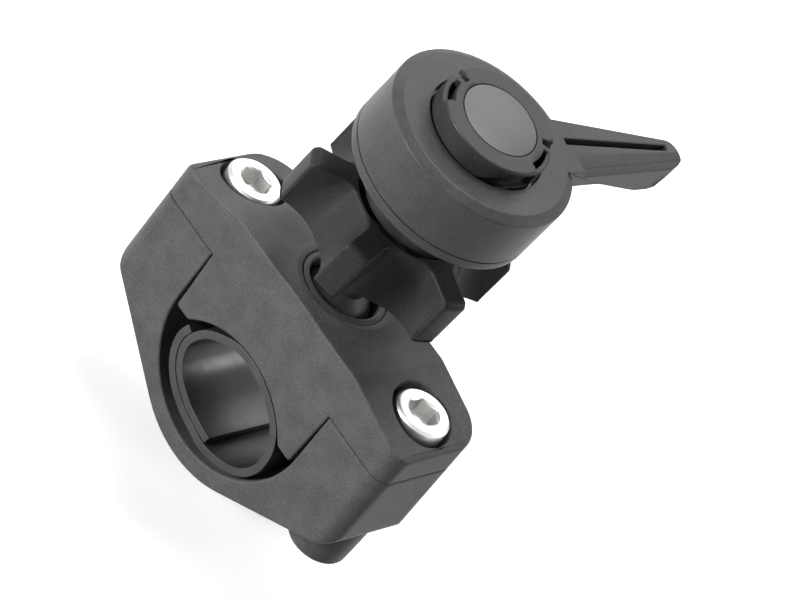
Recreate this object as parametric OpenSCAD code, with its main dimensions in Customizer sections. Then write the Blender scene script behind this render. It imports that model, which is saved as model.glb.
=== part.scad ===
// Handlebar phone mount, all sizes in mm.
// The handlebar lies along y, the two clamp screws stand along z at plus and minus x,
// and the origin is the centre of the lower jaw's bore at half its depth.
// The head stands on a ball joint above the clamp and leans as in the photograph.

/* [Clamp] */

// largest bare handlebar the two jaws take
bar_d = 34; // [26:0.5:42]
// clamp size along the handlebar
clamp_depth = 21.4; // [16:0.2:30]
// clamp length across the two ears
clamp_length = 62.4; // [58:0.2:80]
// height of the flat top above the lower bore's centre
clamp_top = 19.5; // [18:0.1:26]
// height of the line where the two jaws meet
parting_z = 10.6; // [9:0.1:12]
// how far the upper bore's centre lies under the lower one's with the jaws shut
bore_shift = 12.3; // [11:0.1:14]
// wall under the lower bore
jaw_wall = 3.3; // [2.5:0.1:6]
// slope of the jaw's underside towards the ears, in degrees
jaw_slope = 29.7; // [20:0.1:36]
// slope of the ears' tops, in degrees
ear_slope = 12; // [4:0.5:16]
// corner radius at the ears' front ends
ear_front_r = 3.2; // [1:0.1:5]
// corner radius at the ears' back ends
ear_back_r = 6; // [2:0.1:8]
// gap between the tongue of the upper jaw and the lower jaw's channel
tongue_gap = 0.1; // [0.05:0.01:0.4]

/* [Clamp screws] */

// distance between the two clamp screws
screw_pitch = 48.4; // [46:0.1:60]
// thread diameter
screw_d = 6; // [4:0.5:8]
// length under the head
screw_length = 25; // [18:1:30]
// key size of the hex socket
socket_af = 5; // [3:0.5:6]
// gap round the screw's shank in the jaws
screw_gap = 0.3; // [0.1:0.05:0.6]
// radius of the screw post under each ear
post_r = 5.6; // [5.2:0.1:7]
// bottom of the screw posts
post_bottom_z = -15; // [-20:0.5:-12]
// outer diameter of the brass inserts
insert_d = 8.4; // [7.4:0.1:9.4]
// length of the brass inserts
insert_length = 10; // [6:0.5:12]
// gap between the screw's thread and the insert
thread_gap = 0.05; // [0.02:0.01:0.2]

/* [Rubber strip] */

// thickness of the rubber strip
strip_thick = 1.5; // [1:0.05:1.5]

/* [Ball joint] */

// height of the ball's centre above the lower bore's centre
ball_z = 34; // [32:0.5:42]
// ball diameter
ball_d = 15; // [13:0.1:15.4]
// neck diameter of the ball stud
neck_d = 6.4; // [5:0.1:8]
// lean of the head towards the right hand screw, in degrees
lean_right = 5.41; // [-12:0.01:12]
// lean of the head towards the front, in degrees
lean_front = 1.71; // [-12:0.01:12]
// inner radius of the bush in the clamp's top
bush_r = 6.4; // [6:0.1:7]
// gap between the ball and its seats
ball_gap = 0.05; // [0.02:0.01:0.15]

/* [Clamping knob] */

// number of lobes
lobes = 6; // [4:1:7]
// radius over the lobes
knob_r = 18.9; // [17:0.05:24]
// width of a lobe at its tip
lobe_width = 4.5; // [3:0.1:6]
// radius of the valleys at the knob's top
valley_r = 11; // [11:0.1:13]
// radius of the valleys at the knob's bottom
valley_foot_r = 13.6; // [11:0.1:14.5]
// fillet between a lobe and a valley at the knob's top
valley_fillet = 2.8; // [0.5:0.1:3.5]
// fillet between a lobe and a valley at the knob's bottom
foot_fillet = 7.5; // [2:0.1:8]
// height of the knob
knob_h = 10.1; // [9:0.05:11]
// how far the knob reaches under the ball's centre
knob_drop = 3; // [2.6:0.05:3.6]
// thread radius between knob and neck
thread_r = 9.6; // [9.4:0.05:9.8]

/* [Head] */

// radius of the head's drum
drum_r = 16.85; // [16:0.05:24]
// underside of the drum above the ball's centre
drum_bottom = 14.1; // [12:0.05:18]
// top face of the drum above the ball's centre
drum_top = 26.85; // [26:0.05:32]
// thickness of the cover plate under the drum
cover_thick = 1.95; // [1.5:0.05:3]
// width of the sloping edge round the top face
rim_slope_width = 1.55; // [0.3:0.05:2]
// height of the sloping edge round the top face
rim_slope_h = 0.95; // [0.3:0.05:2]
// gap between the turning ring and the fixed parts beside it
ring_gap = 0.1; // [0.05:0.01:0.3]

/* [Lever] */

// reach of the lever's tip from the head's axis
lever_reach = 39.2; // [24:0.1:60]
// thickness of the lever
lever_thick = 4; // [2.5:0.1:5]
// depth of the finger grip under the lever
grip_depth = 2.9; // [1:0.1:4]
// turn of the lever that frees the phone, in degrees
lever_turn = 20; // [8:1:20]

/* [Lock boss] */

// radius of the lock boss
boss_r = 10.1; // [9.8:0.05:10.3]
// height of the lock boss above the ring's top face
boss_h = 3.68; // [2.5:0.02:6]
// start of the front notch, in degrees from the head's x direction
notch_a = -174; // [-180:1:-160]
// end of the front notch, in degrees
notch_b = -123; // [-140:1:-110]
// radius of the cap disc
cap_r = 6.73; // [5:0.01:7]
// thickness of the cap disc
cap_thick = 0.6; // [0.3:0.05:1]
// gap round the cap disc
cap_gap = 0.12; // [0.05:0.01:0.3]

/* [Hidden] */

big = 200;
bore_r = bar_d / 2;
half_depth = clamp_depth / 2;
half_length = clamp_length / 2;
screw_x = screw_pitch / 2;
screw_r = screw_d / 2;
head_r = screw_d * 5 / 6;
head_h = screw_d;
counterbore_r = head_r + 0.8;
ear_flat_x = bore_r - 0.5;
screw_seat_z = clamp_top - 7;
ear_end_z = clamp_top - (half_length - ear_flat_x) * tan(ear_slope);
tongue_bottom_z = -1.5;
tongue_top_x = bore_r - tongue_gap;
tongue_bottom_x = bore_r - 0.6;
lip_x = sqrt(bore_r * bore_r - pow(bore_shift + tongue_bottom_z, 2));
jaw_r = bore_r + jaw_wall;
jaw_end_z = -(jaw_r - half_length * sin(jaw_slope)) / cos(jaw_slope);
well_floor_z = clamp_top - 4.5;
bush_top_z = clamp_top + 0.95;
bush_wall = 1.3;
ball_r = ball_d / 2;
neck_r = neck_d / 2;
neck_out = thread_r - 0.1;
neck_bore = ball_r + 0.12;
flange_r = drum_r - 2.65;
flange_top = drum_bottom + cover_thick + 0.05 + 1.5;
lock_floor = flange_top + 0.15;
lock_top = lock_floor + 1.5;
boss_floor = lock_top + 0.15;
plate_under = drum_top - 2.25;
ring_inner_r = drum_r - 2.2;
hold_r = ring_inner_r - 0.85;
boss_top = drum_top + boss_h;
boss_hole_r = boss_r + 0.35;
slot_in = boss_r - 1.8;
slot_out = boss_r - 0.9;
mirror_deg = -118;
fine = 96;

// flat outlines

// an outline with true arcs at its corners, points run anticlockwise
function unit(v) = v / norm(v);
function turn_of(a, b, c) = (b[0] - a[0]) * (c[1] - b[1]) - (b[1] - a[1]) * (c[0] - b[0]);
function cut_len(a, b, c, r) = r * tan(abs(turn_deg(a, b, c)) / 2);
function turn_deg(a, b, c) = atan2(turn_of(a, b, c), (b - a) * (c - b));
function arc_centre(a, b, c, r) =
    b + unit(unit(a - b) + unit(c - b)) * r / cos(turn_deg(a, b, c) / 2);

module rounded(pts, rad) {
    n = len(pts);
    cut = [for (i = [0:n - 1])
        let (a = pts[(i + n - 1) % n], b = pts[i], c = pts[(i + 1) % n], r = rad[i])
        each (r == 0 ? [b] : [b + unit(a - b) * cut_len(a, b, c, r),
            b + unit(c - b) * cut_len(a, b, c, r)])];
    difference() {
        union() {
            polygon(cut);
            for (i = [0:n - 1]) {
                a = pts[(i + n - 1) % n];
                b = pts[i];
                c = pts[(i + 1) % n];
                if (rad[i] > 0 && turn_of(a, b, c) > 0) {
                    translate(arc_centre(a, b, c, rad[i])) circle(r = rad[i], $fn = fine);
                }
            }
        }
        for (i = [0:n - 1]) {
            a = pts[(i + n - 1) % n];
            b = pts[i];
            c = pts[(i + 1) % n];
            if (rad[i] > 0 && turn_of(a, b, c) < 0) {
                translate(arc_centre(a, b, c, rad[i])) circle(r = rad[i], $fn = fine);
            }
        }
    }
}

// a slice of a circle between two angles less than 180 degrees apart
module slice(a, b, r = 40) {
    polygon([[0, 0], [r * cos(a), r * sin(a)], [r * 1.4 * cos((a + b) / 2), r * 1.4 * sin((a + b) / 2)],
        [r * cos(b), r * sin(b)]]);
}

// a curved bar between two radii and two angles
module arc_bar(r1, r2, a, b, z1, z2) {
    translate([0, 0, z1]) linear_extrude(z2 - z1) intersection() {
        difference() {
            circle(r = r2, $fn = fine);
            circle(r = r1, $fn = fine);
        }
        slice(a, b);
    }
}

// a side outline in x and z run through the clamp's depth
module along_bar(depth) {
    translate([0, depth / 2, 0]) rotate([90, 0, 0]) linear_extrude(depth) children();
}

// the clamp seen from above
module clamp_plan() {
    rounded([[-half_length, -half_depth], [half_length, -half_depth],
        [half_length, half_depth], [-half_length, half_depth]],
        [ear_front_r, ear_front_r, ear_back_r, ear_back_r]);
}

module both_sides() {
    children();
    mirror([1, 0, 0]) children();
}

// frame of the leaning head, with z up the head's axis from the ball's centre
module on_head() {
    translate([0, 0, ball_z]) rotate([lean_front, 0, 0]) rotate([0, lean_right, 0]) children();
}

// clamp

module upper_clamp() {
    color([0.10, 0.10, 0.11]) difference() {
        union() {
            intersection() {
                along_bar(clamp_depth + 2) upper_outline();
                translate([0, 0, -20]) linear_extrude(60) clamp_plan();
            }
            intersection() {
                translate([0, 0, clamp_top - 1]) rotate_extrude($fn = fine) saddle_outline();
                linear_extrude(60) clamp_plan();
            }
        }
        both_sides() {
            translate([screw_x, 0, screw_seat_z]) cylinder(r = counterbore_r, h = 20, $fn = fine);
            translate([screw_x, 0, -20]) cylinder(r = screw_r + screw_gap, h = 60, $fn = fine);
        }
        translate([0, 0, well_floor_z]) cylinder(r = bush_r + bush_wall, h = 20, $fn = fine);
        rotate_extrude($fn = fine) polygon([[0, 0], [4.8, 0], [4.8, bore_r - bore_shift + 0.8],
            [2.7, bore_r - bore_shift + 2.9], [2.7, 30], [0, 30]]);
    }
}

module upper_outline() {
    difference() {
        rounded([[-half_length, parting_z], [-tongue_top_x, parting_z],
            [-tongue_bottom_x, tongue_bottom_z], [tongue_bottom_x, tongue_bottom_z],
            [tongue_top_x, parting_z], [half_length, parting_z], [half_length, ear_end_z],
            [ear_flat_x, clamp_top], [-ear_flat_x, clamp_top], [-half_length, ear_end_z]],
            [0.4, 0, 0.6, 0.6, 0, 0.4, 1.2, 4, 4, 1.2]);
        translate([0, -bore_shift]) circle(r = bore_r, $fn = fine * 2);
    }
}

// low trumpet shaped rise round the ball stud's well
module saddle_outline() {
    rise_r = bush_r + 2.4;
    foot_r = rise_r + 4.2;
    difference() {
        polygon([[0, 0], [foot_r, 0], [foot_r, 1], [rise_r, 1.8], [0, 1.8]]);
        translate([foot_r, 12.38]) circle(r = 11.38, $fn = fine);
    }
}

module lower_clamp() {
    color([0.11, 0.11, 0.12]) difference() {
        union() {
            intersection() {
                along_bar(clamp_depth + 2) lower_outline();
                translate([0, 0, -40]) linear_extrude(60) clamp_plan();
            }
            both_sides() translate([screw_x, 0, 0]) rotate_extrude($fn = fine) post_outline();
        }
        along_bar(clamp_depth + 4) union() {
            circle(r = bore_r, $fn = fine * 2);
            translate([-bore_r, 0]) square([bar_d, 20]);
        }
        both_sides() {
            translate([screw_x, 0, -30]) cylinder(r = screw_r + screw_gap, h = 60, $fn = fine);
            translate([screw_x, 0, post_bottom_z - 1])
                cylinder(r = insert_d / 2, h = insert_length + 1.6, $fn = fine);
        }
    }
}

module lower_outline() {
    tangent = [jaw_r * sin(jaw_slope), -jaw_r * cos(jaw_slope)];
    union() {
        rounded([[-half_length, jaw_end_z], [-tangent[0], tangent[1]], tangent,
            [half_length, jaw_end_z], [half_length, parting_z - 0.05],
            [-half_length, parting_z - 0.05]],
            [5, 0, 0, 5, 0.4, 0.4]);
        intersection() {
            circle(r = jaw_r, $fn = fine * 2);
            translate([-jaw_r, -jaw_r - 1]) square([2 * jaw_r, jaw_r + 1]);
        }
    }
}

// screw post under an ear, slightly tapered, with a rounded rim
module post_outline() {
    difference() {
        union() {
            polygon([[0, post_bottom_z], [post_r - 1, post_bottom_z], [post_r, post_bottom_z + 1],
                [post_r + 0.5, 0], [0, 0]]);
            translate([post_r - 1, post_bottom_z + 1]) circle(r = 1, $fn = fine);
        }
        translate([-big, -big / 2]) square([big, big]);
    }
}

module threaded_inserts() {
    color([0.78, 0.62, 0.30]) both_sides() translate([screw_x, 0, 0]) difference() {
        translate([0, 0, post_bottom_z + 0.6]) union() {
            cylinder(r = insert_d / 2 - 0.02, h = insert_length * 0.4, $fn = fine);
            translate([0, 0, insert_length * 0.4]) cylinder(r = insert_d / 2 - 0.5,
                h = insert_length * 0.2, $fn = fine);
            translate([0, 0, insert_length * 0.6]) cylinder(r = insert_d / 2 - 0.02,
                h = insert_length * 0.4, $fn = fine);
        }
        translate([0, 0, -30]) cylinder(r = screw_r + thread_gap, h = 60, $fn = fine);
    }
}

// cap head screw with a hex socket
module clamp_screw() {
    translate([0, 0, screw_seat_z]) difference() {
        union() {
            translate([0, 0, 0.02]) rotate_extrude($fn = fine) polygon([[0, 0], [head_r, 0],
                [head_r, head_h - 0.5], [head_r - 0.5, head_h], [0, head_h]]);
            translate([0, 0, -screw_length]) cylinder(r1 = screw_r - 0.6, r2 = screw_r, h = 0.6, $fn = fine);
            translate([0, 0, -screw_length + 0.6]) cylinder(r = screw_r, h = screw_length, $fn = fine);
        }
        translate([0, 0, head_h - 3]) cylinder(r = socket_af / sqrt(3), h = 4, $fn = 6);
        translate([0, 0, head_h - 0.4]) cylinder(r1 = socket_af / 2, r2 = socket_af / 2 + 0.7,
            h = 0.6, $fn = fine);
        translate([0, 0, head_h - 4]) cylinder(r1 = 0, r2 = socket_af / 2 - 0.3, h = 1.02, $fn = fine);
    }
}

module clamp_screw_left() {
    color([0.72, 0.73, 0.74]) translate([-screw_x, 0, 0]) clamp_screw();
}

module clamp_screw_right() {
    color([0.72, 0.73, 0.74]) translate([screw_x, 0, 0]) rotate([0, 0, 22]) clamp_screw();
}

// rubber strip, rolled up in the shut jaws, its top held against the upper bore
strip_r = bore_r - strip_thick / 2 - 0.1;
function ceiling(x) = [x, sqrt(strip_r * strip_r - x * x) - bore_shift];
lap = strip_thick + 0.12;
inner_lap = [[3.0, -13.0], [-0.5, -12.6], [-4.0, -11.8], [-7.5, -10.1], [-9.9, -7.6],
    [-10.8, -4.9], [-10.25, -2.3], [-8.7, 0.1]];
roll_x = bore_r / 17;
roll_z = (2 * bore_r - bore_shift - 1.8) / 19.9;
function rolled(p) = [p[0] * roll_x, bore_r - bore_shift + (p[1] - 4.7) * roll_z];
top_run = [rolled([-6.1, 2.1]), ceiling(-3 * roll_x), ceiling(0.5 * roll_x), ceiling(4.2 * roll_x),
    ceiling(7.8 * roll_x), ceiling(10.7 * roll_x)];
side_run = [[12.5, -2.9], [13.0, -5.6], [12.7, -8.4], [11.1, -11.1], [8.3, -13.1], [5.3, -14.2]];
outer_lap = [[2.6, -13 - lap], [-0.9, -12.5 - lap], [-4.5, -11.7 - lap],
    [-7.5 - lap * 0.57, -10.1 - lap * 0.82], [-9.9 - lap * 0.86, -7.6 - lap * 0.52],
    [-10.8 - lap, -4.9], [-10.25 - lap, -2.1]];
strip_path = concat([for (p = inner_lap) rolled(p)], top_run, [for (p = side_run) rolled(p)],
    [for (p = outer_lap) rolled(p)]);
strip_steps = 4;

// smooth curve through the listed points
function spline(p0, p1, p2, p3, t) = 0.5 * (2 * p1 + (p2 - p0) * t
    + (2 * p0 - 5 * p1 + 4 * p2 - p3) * t * t + (3 * p1 - p0 - 3 * p2 + p3) * t * t * t);
function held(i) = max(0, min(len(strip_path) - 1, i));
function strip_at(k) = let (i = floor(k / strip_steps), t = k / strip_steps - i)
    spline(strip_path[held(i - 1)], strip_path[held(i)], strip_path[held(i + 1)],
        strip_path[held(i + 2)], t);
function strip_side(k, side) = let (a = strip_at(max(k - 1, 0)),
    b = strip_at(min(k + 1, (len(strip_path) - 1) * strip_steps)), d = unit(b - a))
    strip_at(k) + [-d[1], d[0]] * side * strip_thick / 2;

module rubber_strip() {
    last = (len(strip_path) - 1) * strip_steps;
    color([0.16, 0.16, 0.16]) along_bar(clamp_depth - 0.3) polygon(concat(
        [for (k = [0:last]) strip_side(k, 1)], [for (k = [last:-1:0]) strip_side(k, -1)]));
}

// ball joint

module well_bush() {
    color([0.20, 0.20, 0.21]) translate([0, 0, well_floor_z + 0.02]) rotate_extrude($fn = fine) polygon([
        [bush_r, 0], [bush_r + bush_wall - 0.02, 0],
        [bush_r + bush_wall - 0.02, bush_top_z - well_floor_z - 0.35],
        [bush_r + bush_wall - 0.7, bush_top_z - well_floor_z],
        [bush_r + 0.35, bush_top_z - well_floor_z], [bush_r, bush_top_z - well_floor_z - 0.5]]);
}

module ball_stud() {
    foot_r = bush_r - 0.05;
    color([0.16, 0.16, 0.17]) difference() {
        union() {
            translate([0, 0, well_floor_z + 0.02]) cylinder(r = foot_r, h = 3, $fn = fine);
            translate([0, 0, well_floor_z + 3.02]) cylinder(r1 = foot_r, r2 = neck_r, h = 3, $fn = fine);
            translate([0, 0, well_floor_z + 3]) cylinder(r = neck_r, h = ball_z - well_floor_z - 8, $fn = fine);
            translate([0, 0, ball_z]) sphere(r = ball_r, $fn = fine);
        }
        translate([0, 0, well_floor_z - 1]) cylinder(r = 2.52, h = 10, $fn = fine);
    }
}

module stud_screw() {
    seat = bore_r - bore_shift + 0.75;
    color([0.55, 0.56, 0.57]) difference() {
        union() {
            translate([0, 0, seat]) cylinder(r1 = 4.72, r2 = 2.5, h = 2.22, $fn = fine);
            translate([0, 0, seat + 2]) cylinder(r = 2.5, h = well_floor_z + 8 - seat - 2, $fn = fine);
        }
        translate([0, 0, seat - 0.1]) cylinder(r = 1.73, h = 1.9, $fn = 6);
    }
}

module seat_ring() {
    nose_r = ball_r + 0.45;
    color([0.45, 0.46, 0.47]) on_head() difference() {
        union() {
            translate([0, 0, -knob_drop]) cylinder(r = nose_r, h = knob_drop, $fn = fine);
            translate([0, 0, -knob_drop + 1.3]) cylinder(r = thread_r - 0.15, h = 2.3, $fn = fine);
        }
        sphere(r = ball_r + ball_gap, $fn = fine);
        cylinder(r = ball_r + ball_gap, h = 5, $fn = fine);
    }
}

module ball_pad() {
    color([0.80, 0.80, 0.76]) on_head() difference() {
        translate([0, 0, 4.5]) cylinder(r = neck_bore - 0.05, h = 5.5, $fn = fine);
        sphere(r = ball_r + ball_gap, $fn = fine);
    }
}

// knob

// a valley's outline between two lobes at height h of the knob, with its middle along x
function valley_ring(h) = let(
    k = h / knob_h,
    fillet = foot_fillet + (valley_fillet - foot_fillet) * k,
    mid = valley_foot_r + (valley_r - valley_foot_r) * k + fillet,
    side = (mid * sin(half_lobe) - lobe_width / 2 - fillet) / cos(half_lobe),
    step = (90 - half_lobe) / fillet_steps)
    concat([[far_x, -far_y, h - knob_drop]],
        [for (i = [0:fillet_steps]) [mid + fillet * cos(90 + half_lobe + i * step),
            -side - fillet * sin(90 + half_lobe + i * step), h - knob_drop]],
        [for (i = [0:fillet_steps]) [mid + fillet * cos(180 - i * step),
            side + fillet * sin(180 - i * step), h - knob_drop]],
        [[far_x, far_y, h - knob_drop]]);

half_lobe = 180 / lobes;
fillet_steps = 9;
ring_n = 2 * fillet_steps + 4;
far_x = (knob_r + 3) * cos(half_lobe) + lobe_width / 2 * sin(half_lobe);
far_y = (knob_r + 3) * sin(half_lobe) - lobe_width / 2 * cos(half_lobe);

module valley_cut() {
    polyhedron(points = concat(valley_ring(-0.5), valley_ring(knob_h + 0.5)),
        faces = concat([[for (i = [1:ring_n]) ring_n - i]], [[for (i = [0:ring_n - 1]) ring_n + i]],
            [for (i = [0:ring_n - 1]) [i, (i + 1) % ring_n, ring_n + i]],
            [for (i = [0:ring_n - 1]) [(i + 1) % ring_n, ring_n + (i + 1) % ring_n, ring_n + i]]));
}

module knob() {
    color([0.09, 0.09, 0.10]) on_head() difference() {
        translate([0, 0, -knob_drop]) rotate_extrude($fn = fine) polygon([[0, 0],
            [knob_r - 0.25, 0], [knob_r, 0.25], [knob_r, knob_h - 0.8],
            [knob_r - 0.8, knob_h], [0, knob_h]]);
        for (k = [0:lobes - 1]) rotate(-132.6 + (k + 0.5) * 360 / lobes) valley_cut();
        translate([0, 0, -knob_drop + 1.25]) cylinder(r = thread_r, h = 20, $fn = fine);
        translate([0, 0, -10]) cylinder(r = ball_r + 0.55, h = 20, $fn = fine);
        translate([0, 0, knob_h - knob_drop - 0.6]) cylinder(r1 = thread_r, r2 = thread_r + 0.62,
            h = 0.62, $fn = fine);
    }
}

// head

module neck_core() {
    color([0.14, 0.14, 0.15]) on_head() difference() {
        union() {
            translate([0, 0, 0.6]) cylinder(r = neck_out, h = flange_top - 0.6, $fn = fine);
            translate([0, 0, drum_bottom + cover_thick + 0.05]) cylinder(r = flange_r, h = 1.5, $fn = fine);
        }
        translate([0, 0, -1]) cylinder(r = neck_bore, h = 11.05, $fn = fine);
        translate([0, 0, 5]) cylinder(r = 2.02, h = 20, $fn = fine);
        for (k = [0:2]) rotate(k * 120 + 30) translate([12, 0, 10]) cylinder(r = 1.27, h = 20, $fn = 48);
    }
}

module cover_plate() {
    color([0.10, 0.10, 0.11]) on_head() translate([0, 0, drum_bottom]) difference() {
        rotate_extrude($fn = fine) polygon([[neck_out + 0.06, 0], [drum_r - 0.4, 0], [drum_r, 0.4],
            [drum_r, cover_thick], [neck_out + 0.06, cover_thick]]);
        for (k = [0:2]) rotate(k * 120 + 30) translate([12, 0, 0]) {
            translate([0, 0, -1]) cylinder(r = 1.4, h = 5, $fn = 48);
            translate([0, 0, -0.01]) cylinder(r1 = 2.3, r2 = 1.4, h = 1.2, $fn = 48);
        }
    }
}

module cover_screws() {
    color([0.60, 0.61, 0.62]) on_head() for (k = [0:2]) rotate(k * 120 + 30)
        translate([12, 0, drum_bottom]) difference() {
            union() {
                translate([0, 0, 0.05]) cylinder(r1 = 2.2, r2 = 1.25, h = 1.1, $fn = 48);
                translate([0, 0, 1]) cylinder(r = 1.25, h = 2.3, $fn = 48);
            }
            translate([-1.2, -0.22, -0.1]) cube([2.4, 0.44, 0.75]);
            translate([-0.22, -1.2, -0.1]) cube([0.44, 2.4, 0.75]);
        }
}

// ring under the boss that turns with the lever, with two prongs in the boss's curved slots
prong_a = notch_b - 34;
prong_width = 10;

module lock_ring() {
    color([0.35, 0.36, 0.38]) on_head() difference() {
        union() {
            translate([0, 0, lock_floor]) cylinder(r = ring_inner_r - 0.1, h = 1.5, $fn = fine);
            arc_bar(slot_in + 0.1, slot_out - 0.1, prong_a + 1, prong_a + 1 + prong_width,
                lock_floor, drum_top + 1);
            arc_bar(slot_in + 0.1, slot_out - 0.1, 8, 8 + prong_width, lock_floor, drum_top + 1);
        }
        translate([0, 0, 5]) cylinder(r = 6.95, h = 20, $fn = fine);
        for (a = [-45, 135]) arc_bar(ring_inner_r - 1.3, ring_inner_r + 1, a - 6, a + 6,
            lock_floor - 1, lock_top + 1);
    }
}

// two turns of spring wire, with a leg into the boss
module return_spring() {
    mid_r = 12.4;
    wire_r = 0.5;
    color([0.62, 0.63, 0.65]) on_head() {
        for (z = [0.35, 1.25]) translate([0, 0, boss_floor + z]) rotate_extrude($fn = fine)
            translate([mid_r, 0]) circle(r = wire_r, $fn = 32);
        rotate(150) translate([boss_r - 0.6, 0, boss_floor + 1.25]) rotate([0, 90, 0])
            cylinder(r = wire_r * 0.8, h = mid_r - boss_r + 0.6, $fn = 32);
    }
}

module boss_notch(a, b, window_a, window_b, slot_a, slot_b) {
    arc_bar(slot_in, slot_out, slot_a, slot_b, boss_floor - 1, boss_top + 1);
    arc_bar(slot_out, boss_r + 1, a, b, boss_top - 0.85, boss_top + 1);
    arc_bar(slot_in - 0.4, boss_r + 1, window_a, window_b, boss_top - 2.6, boss_top + 1);
}

// undercut that takes the phone case's lug as it is turned in
module lug_way() {
    arc_bar(boss_r - 0.9, boss_r + 1, -26, 8, drum_top, boss_top - 0.95);
    rotate(-36) translate([boss_r - 0.9, -2.4, drum_top - 0.42]) rotate([33, 0, 0])
        translate([0, -0.6, -3]) cube([3, 5.6, 3]);
}

// foot, body with its hold down flange, and the small edge round the top
module boss_outline() {
    polygon([[0, flange_top + 0.02], [6.8, flange_top + 0.02], [6.8, boss_floor], [boss_r, boss_floor],
        [boss_r, plate_under - 2.2], [hold_r, plate_under - 2.2], [hold_r, plate_under - 0.6],
        [boss_r, plate_under - 0.6], [boss_r, boss_top - 0.2], [boss_r - 0.2, boss_top], [0, boss_top]]);
}

module lock_boss() {
    color([0.10, 0.10, 0.11]) on_head() difference() {
        rotate_extrude($fn = fine) boss_outline();
        boss_notch(notch_a, notch_b, notch_a + 2, notch_a + 10.5, prong_a, notch_b - 2);
        boss_notch(mirror_deg - notch_b, mirror_deg - notch_a, mirror_deg - notch_a - 10.5,
            mirror_deg - notch_a - 2, mirror_deg - notch_b + 2, mirror_deg - prong_a);
        lug_way();
        rotate(180) lug_way();
        translate([0, 0, boss_top - cap_thick - 0.05]) cylinder(r = cap_r + cap_gap, h = 2, $fn = fine);
        translate([0, 0, boss_top - 5]) cylinder(r = 3.7, h = 6, $fn = fine);
        translate([0, 0, 5]) cylinder(r = 2.2, h = 40, $fn = fine);
        translate([0, 0, boss_floor + 1.25]) rotate([0, 90, 150]) cylinder(r = 0.55, h = boss_r + 1, $fn = 32);
    }
}

module slide_washer() {
    color([0.85, 0.85, 0.82]) on_head() translate([0, 0, plate_under - 0.57]) difference() {
        cylinder(r = hold_r - 0.2, h = 0.5, $fn = fine);
        translate([0, 0, -1]) cylinder(r = boss_r + 0.05, h = 3, $fn = fine);
    }
}

module boss_screw() {
    color([0.60, 0.61, 0.62]) on_head() difference() {
        union() {
            translate([0, 0, boss_top - 4.98]) cylinder(r = 3.5, h = 4, $fn = fine);
            translate([0, 0, 11.5]) cylinder(r = 2, h = boss_top - 4.98 - 11.4, $fn = fine);
        }
        translate([0, 0, boss_top - 3]) cylinder(r = 1.73, h = 3, $fn = 6);
    }
}

module cap_disc() {
    color([0.17, 0.17, 0.18]) on_head() translate([0, 0, boss_top - cap_thick]) cylinder(r = cap_r,
        h = cap_thick, $fn = fine);
}

// lever, seen from above, pointing away from the rider's side
tip_x = 10.2;
tip_y = lever_reach;
module lever_plan() {
    rounded([[-1.6, 12], [9.7, 12], [tip_x + 2.1, tip_y - 2.2], [tip_x + 1.7, tip_y],
        [tip_x - 2.2, tip_y]], [0, 0, 1.2, 1.2, 2.2]);
}

// lever seen from the side, with the finger grip under its end
module lever_side() {
    low = drum_top - lever_thick;
    rounded([[6, low], [lever_reach * 0.56, low], [lever_reach * 0.83, low - grip_depth],
        [lever_reach * 0.93, low - grip_depth], [lever_reach + 0.05, low + 0.9],
        [lever_reach + 0.05, drum_top], [6, drum_top]], [0, 8, 6, 2.5, 0.6, 0, 0]);
}

module lever_ring() {
    color([0.10, 0.10, 0.11]) on_head() {
        difference() {
            union() {
                rotate_extrude($fn = fine) polygon([[0, drum_bottom + cover_thick + ring_gap],
                    [drum_r, drum_bottom + cover_thick + ring_gap], [drum_r, drum_top - rim_slope_h],
                    [drum_r - rim_slope_width, drum_top], [0, drum_top]]);
                intersection() {
                    linear_extrude(drum_top) lever_plan();
                    translate([-20, 0, 0]) rotate([90, 0, 90]) linear_extrude(60) lever_side();
                }
            }
            translate([0, 0, 0]) cylinder(r = ring_inner_r, h = plate_under, $fn = fine);
            cylinder(r = boss_hole_r, h = 60, $fn = fine);
            lever_slot();
            lever_edge();
        }
        for (a = [-45, 135]) arc_bar(ring_inner_r - 1.2, ring_inner_r + 0.5, a - 5.5, a + 5.5,
            lock_floor + 0.1, lock_top + 0.4);
    }
}

// narrow slot along the lever
module lever_slot() {
    translate([0, 0, drum_top - 2.4]) linear_extrude(3) union() {
        polygon([[3.5, 15.8], [4.6, 15.6], [lever_reach * 0.24, lever_reach * 0.93],
            [lever_reach * 0.215, lever_reach * 0.935]]);
        translate([lever_reach * 0.2275, lever_reach * 0.932]) circle(r = 0.55, $fn = 32);
    }
}

// sloping edge along the lever's near side
module lever_edge() {
    run = [tip_x + 2.1 - 9.7, tip_y - 2.2 - 12];
    translate([9.7, 12, drum_top]) rotate([0, 0, atan2(run[1], run[0])]) translate([4.6, 0, 0])
        rotate([45, 0, 0]) translate([0, -0.62, -0.62]) cube([norm(run) + 6, 1.24, 1.24]);
}

upper_clamp();
lower_clamp();
rubber_strip();
clamp_screw_left();
clamp_screw_right();
threaded_inserts();
well_bush();
ball_stud();
stud_screw();
seat_ring();
ball_pad();
knob();
neck_core();
cover_plate();
cover_screws();
lock_ring();
return_spring();
lock_boss();
slide_washer();
lever_ring();
boss_screw();
cap_disc();
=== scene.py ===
# %% [markdown]
# A handlebar phone mount: two clamp jaws with a rolled up rubber strip between them, a ball joint
# with a six lobed knob, and a round twist lock head with a long release lever.
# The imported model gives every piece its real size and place. This lesson gives them their looks:
# rounded moulding edges, fine grained plastic, bright screws, and a soft studio light.

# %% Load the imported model
import math

import bmesh
import bpy
from mathutils import Matrix, Vector


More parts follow.
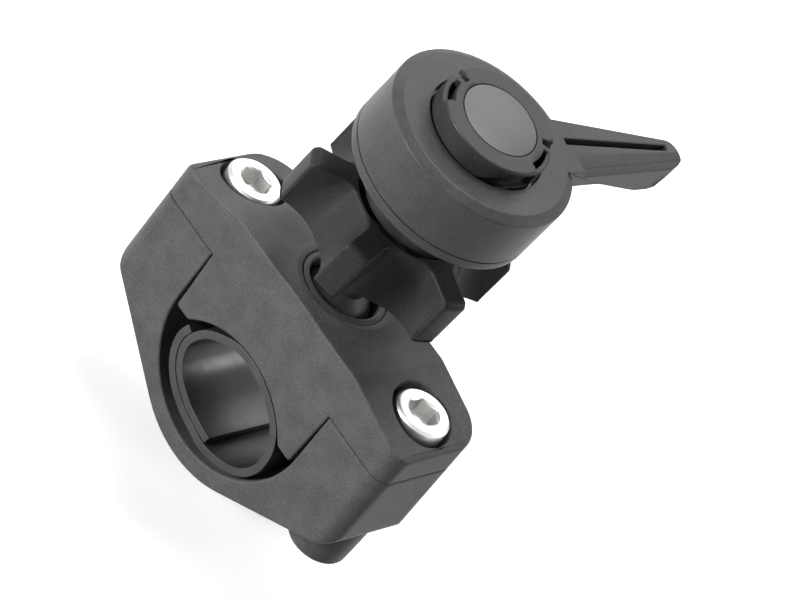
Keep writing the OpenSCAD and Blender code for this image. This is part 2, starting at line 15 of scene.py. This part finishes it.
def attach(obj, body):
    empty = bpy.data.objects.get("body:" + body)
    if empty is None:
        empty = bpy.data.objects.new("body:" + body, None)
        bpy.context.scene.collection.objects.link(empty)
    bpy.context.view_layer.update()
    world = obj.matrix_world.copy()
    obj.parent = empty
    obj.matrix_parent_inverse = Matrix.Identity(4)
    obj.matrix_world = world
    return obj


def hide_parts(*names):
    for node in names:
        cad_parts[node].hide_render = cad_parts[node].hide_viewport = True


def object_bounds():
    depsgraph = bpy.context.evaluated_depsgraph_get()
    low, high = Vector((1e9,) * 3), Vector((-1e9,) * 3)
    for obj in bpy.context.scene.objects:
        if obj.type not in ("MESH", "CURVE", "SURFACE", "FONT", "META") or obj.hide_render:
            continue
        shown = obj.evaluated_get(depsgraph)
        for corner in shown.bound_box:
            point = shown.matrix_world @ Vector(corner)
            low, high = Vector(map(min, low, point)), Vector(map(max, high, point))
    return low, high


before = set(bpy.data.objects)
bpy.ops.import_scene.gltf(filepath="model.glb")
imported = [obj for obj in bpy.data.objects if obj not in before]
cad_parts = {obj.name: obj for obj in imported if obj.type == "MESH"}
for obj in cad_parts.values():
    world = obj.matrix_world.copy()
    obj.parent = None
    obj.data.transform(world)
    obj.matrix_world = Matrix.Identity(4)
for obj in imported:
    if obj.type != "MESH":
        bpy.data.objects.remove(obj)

MM = 0.001
start_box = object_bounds()
print("nodes:", sorted(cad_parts))
print("box in mm:", [[round(c / MM, 1) for c in corner] for corner in start_box])

# %% [markdown]
# The head leans on its ball. Its axis is used again and again, so it is worked out once from the
# two lean angles that the part was drawn with, as a matrix from head coordinates to the model's.
# In head coordinates z runs up the axis from the ball's centre.

# %% The leaning head's own coordinates
BALL_CENTRE = Vector((0, 0, 34 * MM))
LEAN_RIGHT = math.radians(5.41)
LEAN_FRONT = math.radians(1.71)
HEAD = (
    Matrix.Translation(BALL_CENTRE)
    @ Matrix.Rotation(LEAN_FRONT, 4, "X")
    @ Matrix.Rotation(LEAN_RIGHT, 4, "Y")
)
HEAD_AXIS = (HEAD.to_3x3() @ Vector((0, 0, 1))).normalized()
print("head axis", [round(c, 4) for c in HEAD_AXIS])

# %% [markdown]
# The camera stands where the photograph was taken from. Its place, turn and lens come from a fit of
# the screws, the bore and the head's circles to the picture. It is a long lens about 0.7 m away,
# rolled so that the mount's upright leans to the right in the frame.

# %% Camera at the photograph's angle
CAMERA_PLACE = (0.24376, -0.53179, 0.43305)
CAMERA_RIGHT = Vector((0.55612, 0.64520, 0.52387))
CAMERA_DOWN = Vector((0.76210, -0.14443, -0.63114))
CAMERA_AHEAD = Vector((-0.33155, 0.75024, -0.57203))
LENS_MM = 202.48
SENSOR_MM = 36.0
CLIP_NEAR = 0.01
CLIP_FAR = 20

camera_data = bpy.data.cameras.new("photo_camera")
camera_data.lens = LENS_MM
camera_data.sensor_width = SENSOR_MM
camera_data.clip_start = CLIP_NEAR
camera_data.clip_end = CLIP_FAR
camera = bpy.data.objects.new("photo_camera", camera_data)
bpy.context.collection.objects.link(camera)
turn = Matrix((CAMERA_RIGHT, -CAMERA_DOWN, -CAMERA_AHEAD)).transposed()
camera.rotation_mode = "QUATERNION"
camera.rotation_quaternion = turn.to_quaternion()
camera.location = CAMERA_PLACE
bpy.context.scene.camera = camera
bpy.context.scene.view_settings.view_transform = "Standard"
print("camera", [round(c, 3) for c in camera.location])

# %% [markdown]
# Shader nodes are easier to read as sums than as boxes. This small class wraps one socket, so that
# a plain Python expression adds the Math nodes. Numbers alone never reach it: they are worked out
# in Python first.

# %% A socket that can be added and multiplied
class Wire:
    def __init__(self, paint, socket):
        self.paint = paint
        self.socket = socket

    def _math(self, operation, a, b):
        return self.paint.node("ShaderNodeMath", {"operation": operation}, {0: a, 1: b})

    def __add__(self, other):
        return self._math("ADD", self, other)

    def __radd__(self, other):
        return self._math("ADD", other, self)

    def __sub__(self, other):
        return self._math("SUBTRACT", self, other)

    def __rsub__(self, other):
        return self._math("SUBTRACT", other, self)

    def __mul__(self, other):
        return self._math("MULTIPLY", self, other)

    def __rmul__(self, other):
        return self._math("MULTIPLY", other, self)


class Paint:
    """A material or a world, made of nodes that are added by type, settings and inputs."""

    def __init__(self, name, kind="materials"):
        self.made = getattr(bpy.data, kind).new(name)
        self.made.use_nodes = True
        self.tree = self.made.node_tree
        self.tree.nodes.clear()

    def node(self, kind, settings=None, inputs=None, output=0):
        made = self.tree.nodes.new(kind)
        for key, value in (settings or {}).items():
            setattr(made, key, value)
        for key, value in (inputs or {}).items():
            if isinstance(value, Wire):
                self.tree.links.new(value.socket, made.inputs[key])
            else:
                made.inputs[key].default_value = value
        if len(made.outputs) == 0:
            return None
        return Wire(self, made.outputs[output])

    def place(self):
        """The point's own place on the piece, in metres."""
        return self.node("ShaderNodeTexCoord", output="Object")

    def noise(self, size, detail=2.0, rough=0.5):
        """Noise from 0 to 1 whose blobs are about size metres across."""
        return self.node(
            "ShaderNodeTexNoise",
            inputs={"Vector": self.place(), "Scale": 1 / size, "Detail": detail, "Roughness": rough},
        )

    def spread(self, value, low=0.3, high=0.7):
        """The range from low to high drawn out to 0 to 1. Most of a noise lies from 0.3 to 0.7."""
        return self.node("ShaderNodeMapRange", {"clamp": True}, {"Value": value, 1: low, 2: high})

    def tint(self, factor, a, b):
        """Colour a where factor is 0, b where it is 1."""
        return self.node(
            "ShaderNodeMix",
            {"data_type": "RGBA"},
            {0: factor, 6: (*a, 1.0), 7: (*b, 1.0)},
            output=2,
        )

    def bump(self, height, depth):
        """The surface raised by up to depth metres where height is 1."""
        return self.node("ShaderNodeBump", inputs={"Height": height, "Distance": depth})

    def finish(self, **inputs):
        """The surface shader with its sockets filled. An underscore stands for a space."""
        named = {key.replace("_", " "): value for key, value in inputs.items()}
        surface = self.node("ShaderNodeBsdfPrincipled", inputs=named)
        self.node("ShaderNodeOutputMaterial", inputs={"Surface": surface})
        return self.made


# %% [markdown]
# The mouldings are black glass filled nylon from a spark eroded mould: a dark grey with a grain of
# about a quarter of a millimetre, a little uneven where the glass fibres lie near the skin. Two
# noises make it. A small one gives the grain its bump and its sparkle, and a large one drifts the
# shade. A low sheen keeps the black from mirroring the white studio. The knob and the boss get
# darker copies of the same plastic as painted shade, because their valleys and sides lie in shade.

# %% Grained black plastic
GRAIN = 0.00026
CLOUD = 0.004
SHEEN = 0.1
DARK_GRAIN = 0.6
LIGHT_GRAIN = 1.5
GRAIN_SHARE = 0.65
GRAIN_ROUGH = 0.05
CLOUD_ROUGH = 0.08
ROUGH_MIDDLE = 0.06


def grained_plastic(name, shade, rough, grain_depth, sheen=SHEEN):
    paint = Paint(name)
    grain = paint.noise(GRAIN, 3.0, 0.6)
    cloud = paint.noise(CLOUD, 4.0, 0.6)
    fine_part = paint.spread(grain, 0.35) * GRAIN_SHARE
    level = fine_part + paint.spread(cloud) * (1 - GRAIN_SHARE)
    uneven = paint.spread(cloud) * CLOUD_ROUGH
    dark = tuple(c * DARK_GRAIN for c in shade)
    light = tuple(c * LIGHT_GRAIN for c in shade)
    return paint.finish(
        Base_Color=paint.tint(level, dark, light),
        Roughness=rough - ROUGH_MIDDLE + uneven + paint.spread(grain) * GRAIN_ROUGH,
        Normal=paint.bump(grain, grain_depth),
        Specular_IOR_Level=sheen,
    )


jaw_plastic = grained_plastic("jaw_plastic", (0.084, 0.084, 0.084), 0.44, 0.00006)
# Painted shade: the knob's plastic is darker than the jaws', because its valleys lie in shade.
knob_plastic_painted_shade = grained_plastic("knob_plastic_painted_shade", (0.026, 0.026, 0.026), 0.40, 0.00002)
head_plastic = grained_plastic("head_plastic", (0.050, 0.050, 0.050), 0.40, 0.00006, 0.22)
# Painted shade: the boss's plastic is darker than the rest of the head, because its side lies in
# shade.
boss_plastic_painted_shade = grained_plastic("boss_plastic_painted_shade", (0.026, 0.026, 0.026), 0.40, 0.00003, 0.22)
print("plastics made")

# %% [markdown]
# The disc on top of the boss is thin film with a satin face, smoother than the moulding. The strip
# is plain rubber with a faint bloom. The metal parts are bright zinc on the cap screws, dark
# anodised on the ball and neck, and brass for the inserts. One function makes all the metals, from
# a shade that clouds a little and a roughness that varies with it, because no metal is quite even.

# %% Satin disc, rubber and metals
METAL_DULLED = 0.86


def satin_film():
    paint = Paint("satin_film")
    fleck = paint.noise(0.00018, 2.0, 0.5)
    dark, light = (0.045, 0.045, 0.045), (0.058, 0.058, 0.058)
    return paint.finish(
        Base_Color=paint.tint(paint.spread(fleck), dark, light),
        Roughness=0.36 + paint.spread(fleck) * 0.06,
        Normal=paint.bump(fleck, 0.00001),
    )


def strip_rubber():
    paint = Paint("strip_rubber")
    bloom = paint.noise(0.004, 5.0, 0.65)
    pores = paint.noise(0.00025, 2.0, 0.5)
    dark, light = (0.016, 0.016, 0.016), (0.030, 0.030, 0.030)
    return paint.finish(
        Base_Color=paint.tint(paint.spread(bloom, 0.35), dark, light),
        Roughness=0.28 + paint.spread(bloom) * 0.14,
        Normal=paint.bump(pores, 0.000008),
    )


def plated_metal(name, shade, rough, metallic=1.0):
    paint = Paint(name)
    cloud = paint.noise(0.0016, 4.0, 0.6)
    fine = paint.noise(0.00012, 2.0, 0.5)
    dark = tuple(c * METAL_DULLED for c in shade)
    return paint.finish(
        Base_Color=paint.tint(paint.spread(cloud), dark, shade),
        Roughness=rough + paint.spread(cloud) * CLOUD_ROUGH + paint.spread(fine) * GRAIN_ROUGH,
        Metallic=metallic,
        Normal=paint.bump(fine, 0.000004),
    )


def natural_nylon():
    paint = Paint("natural_nylon")
    cloud = paint.noise(0.003, 3.0, 0.5)
    return paint.finish(
        Base_Color=paint.tint(cloud, (0.62, 0.62, 0.57), (0.74, 0.74, 0.70)),
        Roughness=0.45 + cloud * 0.1,
    )


disc_film = satin_film()
rubber = strip_rubber()
zinc = plated_metal("bright_zinc", (0.70, 0.70, 0.69), 0.34)
steel = plated_metal("small_screw_steel", (0.62, 0.62, 0.63), 0.28)
anodised = plated_metal("black_anodised", (0.020, 0.020, 0.021), 0.48, metallic=0.3)
brass = plated_metal("insert_brass", (0.80, 0.62, 0.30), 0.30)
nylon = natural_nylon()

NODE_PAINT = {
    "upper_clamp": jaw_plastic,
    "lower_clamp": jaw_plastic,
    "rubber_strip": rubber,
    "clamp_screw_left": zinc,
    "clamp_screw_right": zinc,
    "threaded_inserts": brass,
    "well_bush": head_plastic,
    "ball_stud": anodised,
    "stud_screw": steel,
    "seat_ring": anodised,
    "ball_pad": nylon,
    "knob": knob_plastic_painted_shade,
    "neck_core": anodised,
    "cover_plate": head_plastic,
    "cover_screws": steel,
    "lock_ring": anodised,
    "return_spring": steel,
    "lock_boss": boss_plastic_painted_shade,
    "slide_washer": nylon,
    "lever_ring": head_plastic,
    "boss_screw": steel,
    "cap_disc": disc_film,
}
for node_name, material in NODE_PAINT.items():
    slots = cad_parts[node_name].material_slots
    for one in slots:
        one.material = material
    print(node_name, "gets", material.name, "in", len(slots), "slot")

# %% [markdown]
# The studio is a plain pale floor below the clamp and a white surround. Both show white to the
# camera, in gloss and in glass. For the light that they throw on the object they are nearly dark,
# so that they give it only a soft fill, a little brighter from the upper left. The lamps alone would
# leave the floor grey, so its paint also glows, for the rays that show it only, and the object's
# shadow still falls on it. Five softboxes light the object. The key stands low at the front left and
# lights the jaws' front. The top one casts the head's shade on the clamp, and the others catch the
# tops, the side and the rim.

# %% Floor, surround and lamps
FLOOR_DROP = 0.004
FLOOR_WIDTH = 6
floor_z = start_box[0].z - FLOOR_DROP
bpy.ops.object.select_all(action="DESELECT")
bpy.ops.mesh.primitive_plane_add(size=FLOOR_WIDTH, location=(0, 0, floor_z))
floor = bpy.context.object
floor.name = "studio_floor"

FLOOR_SHADE = 0.92
FLOOR_BOUNCE = 0.05
FLOOR_GLOW = 0.45
SURROUND_BRIGHT = 0.12
SURROUND_DARK = 0.01
BRIGHT_SIDE = Vector((-0.55, -0.35, 0.75)).normalized()


def shown(paint):
    """1 for rays that show the background: the camera's, and those in gloss and glass."""
    seen = paint.node("ShaderNodeLightPath", output="Is Camera Ray")
    shone = paint.node("ShaderNodeLightPath", output="Is Glossy Ray")
    through = paint.node("ShaderNodeLightPath", output="Is Transmission Ray")
    return paint.node("ShaderNodeClamp", inputs={"Value": seen + shone + through})


def floor_paint():
    paint = Paint("floor_paint")
    surface = paint.node(
        "ShaderNodeBsdfPrincipled",
        inputs={
            "Base Color": paint.tint(shown(paint), (FLOOR_BOUNCE,) * 3, (FLOOR_SHADE,) * 3),
            "Emission Color": paint.tint(shown(paint), (0, 0, 0), (FLOOR_GLOW,) * 3),
            "Emission Strength": 1.0,
            "Roughness": 0.9,
        },
    )
    paint.node("ShaderNodeOutputMaterial", inputs={"Surface": surface})
    return paint.made


floor.data.materials.append(floor_paint())


def studio_world():
    paint = Paint("white_surround", "worlds")
    where = paint.node("ShaderNodeTexCoord", output="Generated")
    side = paint.node(
        "ShaderNodeVectorMath",
        {"operation": "DOT_PRODUCT"},
        {0: where, 1: BRIGHT_SIDE},
        output="Value",
    )
    bright = paint.spread(side, -0.3, 0.9)
    plain = shown(paint)
    fill = SURROUND_DARK + bright * (SURROUND_BRIGHT - SURROUND_DARK)
    strength = plain + (1 - plain) * fill
    back = paint.node("ShaderNodeBackground", inputs={"Color": (1, 1, 1, 1), "Strength": strength})
    paint.node("ShaderNodeOutputWorld", inputs={"Surface": back})
    return paint.made


bpy.context.scene.world = studio_world()


def softbox(name, place, aim, size, watts):
    data = bpy.data.lights.new(name, "AREA")
    data.shape = "SQUARE"
    data.size = size
    data.energy = watts
    lamp = bpy.data.objects.new(name, data)
    bpy.context.collection.objects.link(lamp)
    lamp.location = place
    lamp.rotation_mode = "QUATERNION"
    lamp.rotation_quaternion = (Vector(aim) - Vector(place)).to_track_quat("-Z", "Y")
    return lamp


TARGET = (0, 0, 0.03)
SOFTBOXES = [
    # name, place, size in metres, watts
    ("key_softbox", (-0.36, -0.86, 0.26), 0.35, 13.0),
    ("top_softbox", (-0.10, 0.25, 0.92), 0.4, 6.0),
    ("back_softbox", (-0.30, 0.66, 0.60), 0.4, 1.5),
    ("side_softbox", (-0.80, 0.42, 0.35), 0.4, 0.8),
    ("rim_softbox", (0.62, 0.66, 0.36), 0.3, 2.6),
]
for name, place, size, watts in SOFTBOXES:
    softbox(name, place, TARGET, size, watts)
print("studio made")

# %% [markdown]
# No real moulding has a knife edge: the mould's own corners leave a small round, which catches the
# light as a thin bright line. A copy of the model's shape is merged, its flat triangles are joined
# into whole faces, and a Bevel modifier rolls every edge that is sharper than a limit. Weighted
# normals keep the big faces flat beside the small rounds.

# %% Rounding a moulding's edges
MERGE = 0.000001
FLAT = math.radians(0.4)
SMOOTH = math.radians(32)


def pick(piece):
    bpy.ops.object.select_all(action="DESELECT")
    piece.select_set(True)
    bpy.context.view_layer.objects.active = piece


def merged_copy(node, name, joined=True):
    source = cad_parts[node]
    piece = bpy.data.objects.new(name, source.data.copy())
    bpy.context.collection.objects.link(piece)
    pick(piece)
    bpy.ops.object.mode_set(mode="EDIT")
    bpy.ops.mesh.select_all(action="SELECT")
    bpy.ops.mesh.remove_doubles(threshold=MERGE)
    if joined:
        bpy.ops.mesh.dissolve_limited(angle_limit=FLAT)
    bpy.ops.object.mode_set(mode="OBJECT")
    if piece.data.has_custom_normals:
        bpy.ops.mesh.customdata_custom_splitnormals_clear()
    return piece


def roll_edges(piece, radius, steps, sharp, then=None):
    pick(piece)
    bevel = piece.modifiers.new("rolled_edges", "BEVEL")
    bevel.width = radius
    bevel.segments = steps
    bevel.limit_method = "ANGLE"
    bevel.angle_limit = math.radians(sharp)
    bevel.use_clamp_overlap = False
    bevel.harden_normals = False
    bpy.ops.object.modifier_apply(modifier=bevel.name)
    if then:
        then(piece)
    bpy.ops.object.shade_smooth_by_angle(angle=SMOOTH, keep_sharp_edges=True)
    even = piece.modifiers.new("even_normals", "WEIGHTED_NORMAL")
    even.keep_sharp = True
    bpy.ops.object.modifier_apply(modifier=even.name)


def stand_in(piece, node, body):
    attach(piece, body)
    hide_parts(node)
    print(piece.name, len(piece.data.polygons), "faces, stands for", node)


# %% [markdown]
# The lever's top isn't flat: a crease runs out along it from the ring to the tip, and the part to
# the right of the crease falls away a little. The top is cut along that line, and the corners
# beyond it are lowered by their distance from it.

# %% Crease along the lever
CREASE_FROM = (6.7, 15.4)
CREASE_TO = (9.8, 36.1)
CREASE_FALL = 0.2
LEVER_START = 15.6
LEVER_TOP = 26.85
LEVER_RIM = 1.3
NEAR = 0.05
HAIR = 0.01


def crease_lever(piece):
    inside = HEAD.inverted()
    start = Vector((*CREASE_FROM, 0)) * MM
    along = (Vector((*CREASE_TO, 0)) * MM - start).normalized()
    across = Vector((along.y, -along.x, 0))
    pick(piece)
    bpy.ops.object.mode_set(mode="EDIT")
    bpy.ops.mesh.select_all(action="DESELECT")
    mesh = bmesh.from_edit_mesh(piece.data)
    for face in mesh.faces:
        spots = [inside @ v.co for v in face.verts]
        face.select = all(s.z > (LEVER_TOP - NEAR) * MM for s in spots)
    bmesh.update_edit_mesh(piece.data)
    bpy.ops.mesh.quads_convert_to_tris(ngon_method="CLIP")
    root = HEAD @ Vector((0, LEVER_START * MM, 0))
    bpy.ops.mesh.bisect(plane_co=root, plane_no=HEAD.to_3x3() @ Vector((0, 1, 0)))
    bpy.ops.mesh.select_all(action="DESELECT")
    mesh = bmesh.from_edit_mesh(piece.data)
    for face in mesh.faces:
        spots = [inside @ v.co for v in face.verts]
        on_top = all(s.z > (LEVER_TOP - NEAR) * MM for s in spots)
        face.select = on_top and all(s.y > (LEVER_START - HAIR) * MM for s in spots)
    bmesh.update_edit_mesh(piece.data)
    bpy.ops.mesh.bisect(plane_co=HEAD @ start, plane_no=HEAD.to_3x3() @ across)
    bpy.ops.mesh.mark_sharp()
    mesh = bmesh.from_edit_mesh(piece.data)
    for vert in mesh.verts:
        spot = inside @ vert.co
        beyond = (spot - start).dot(across)
        on_rim = spot.z > (LEVER_TOP - LEVER_RIM) * MM
        if on_rim and beyond > 0 and spot.y > (LEVER_START + NEAR) * MM:
            vert.co -= HEAD_AXIS * beyond * CREASE_FALL
    bmesh.update_edit_mesh(piece.data)
    bpy.ops.object.mode_set(mode="OBJECT")


# %% [markdown]
# The table below says which node gets rounded edges, and how large the round is. The ball stud, the
# neck and the small parts inside keep the model's own shape. The boss's top is full of windows,
# which joined faces would close, so it keeps its triangles. The lever gets its crease after its
# edges are rolled.

# %% Pieces with rounded edges
EDGES = [
    # node, piece name, body, slot, radius in mm, steps, sharpest angle left alone
    ("upper_clamp", "upper_jaw", "clamp", "clamp_plastic", 0.45, 3, 28),
    ("lower_clamp", "lower_jaw_shell", "lower_jaw", "clamp_plastic", 0.45, 3, 28),
    ("rubber_strip", "rolled_strip", "clamp", "strip_rubber", 0.18, 2, 35),
    ("well_bush", "well_collar", "clamp", "dark_metal", 0.12, 2, 28),
    ("knob", "lobed_knob", "knob", "clamp_plastic", 0.5, 3, 28),
    ("cover_plate", "drum_cover", "head", "clamp_plastic", 0.2, 2, 28),
    ("lever_ring", "lever_shell", "lever", "clamp_plastic", 0.22, 3, 25),
    ("lock_boss", "lock_boss_top", "head", "clamp_plastic", 0.15, 2, 28),
    ("clamp_screw_left", "cap_screw_left", "screw_left", "bright_steel", 0.12, 2, 28),
    ("clamp_screw_right", "cap_screw_right", "screw_right", "bright_steel", 0.12, 2, 28),
]
KEEP_TRIANGLES = ("lock_boss",)
AFTER_ROLLING = {"lever_ring": crease_lever}
for node, name, body, slot, radius_mm, steps, sharp in EDGES:
    piece = merged_copy(node, name, node not in KEEP_TRIANGLES)
    roll_edges(piece, radius_mm * MM, steps, sharp, AFTER_ROLLING.get(node))
    stand_in(piece, node, body)

# %% [markdown]
# The disc on the boss is punched from film: a flat round with a small rolled rim. It is a cylinder
# primitive at the disc's own size, turned to the head's lean once and applied, with its top rim
# rounded by a bevel.

# %% Disc on the boss
DISC_SIDES = 96
DISC_ROUND = 0.12 * MM


def head_box(node):
    """The node's limits in head coordinates, from its corners."""
    inside = HEAD.inverted()
    points = [inside @ v.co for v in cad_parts[node].data.vertices]
    return (
        Vector([min(p[i] for p in points) for i in range(3)]),
        Vector([max(p[i] for p in points) for i in range(3)]),
    )


def bake(piece, matrix):
    """Turn a piece's own points by a matrix and leave the object at the origin."""
    piece.data.transform(matrix)
    piece.matrix_world = Matrix.Identity(4)


low, high = head_box("cap_disc")
bpy.ops.object.select_all(action="DESELECT")
bpy.ops.mesh.primitive_cylinder_add(
    vertices=DISC_SIDES,
    radius=(high.x - low.x) / 2,
    depth=high.z - low.z,
    location=(0, 0, (low.z + high.z) / 2),
)
disc = bpy.context.object
disc.name = "boss_disc"
bpy.ops.object.transform_apply(location=True, rotation=True, scale=True)
bpy.ops.object.mode_set(mode="EDIT")
bpy.ops.mesh.select_all(action="DESELECT")
mesh = bmesh.from_edit_mesh(disc.data)
for edge in mesh.edges:
    edge.select = all(v.co.z > high.z - MERGE for v in edge.verts)
bmesh.update_edit_mesh(disc.data)
bpy.ops.mesh.bevel(offset=DISC_ROUND, segments=3, clamp_overlap=True)
bpy.ops.object.mode_set(mode="OBJECT")
bpy.ops.object.shade_smooth_by_angle(angle=SMOOTH)
bake(disc, HEAD)
stand_in(disc, "cap_disc", "head")
disc.data.materials.append(disc_film)
